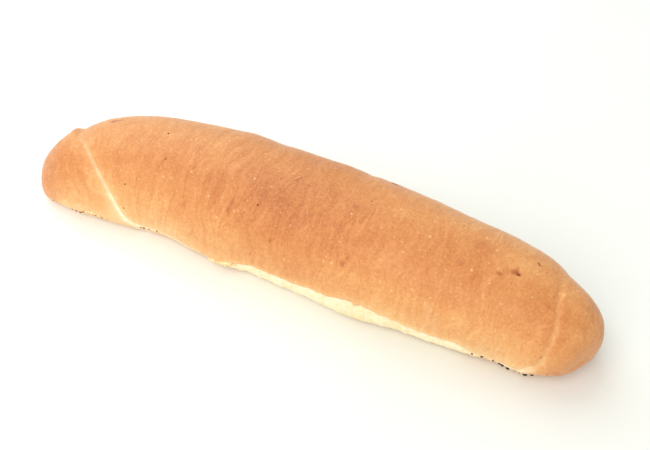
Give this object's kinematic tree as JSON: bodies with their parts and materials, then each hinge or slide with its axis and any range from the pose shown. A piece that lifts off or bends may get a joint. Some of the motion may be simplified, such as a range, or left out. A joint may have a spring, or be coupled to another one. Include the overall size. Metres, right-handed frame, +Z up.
{
  "type": "hot dog baguette roll",
  "caption": "Whole soft-crusted hot dog baguette roll, long and slightly curved with blunt round ends, a flat base and a seam that burst open low along one side.",
  "frame": {"origin": "on the table under the middle of the roll's bounding box", "axes": "+X along the roll towards the end with the faint seam mark, +Y towards the side without the burst seam, +Z up"},
  "size_m": [0.27, 0.0636, 0.0457],
  "materials": {
    "crust": "soft satin bread crust"
  },
  "bodies": {
    "root": {"roll": "crust"}
  },
  "joints": []
}
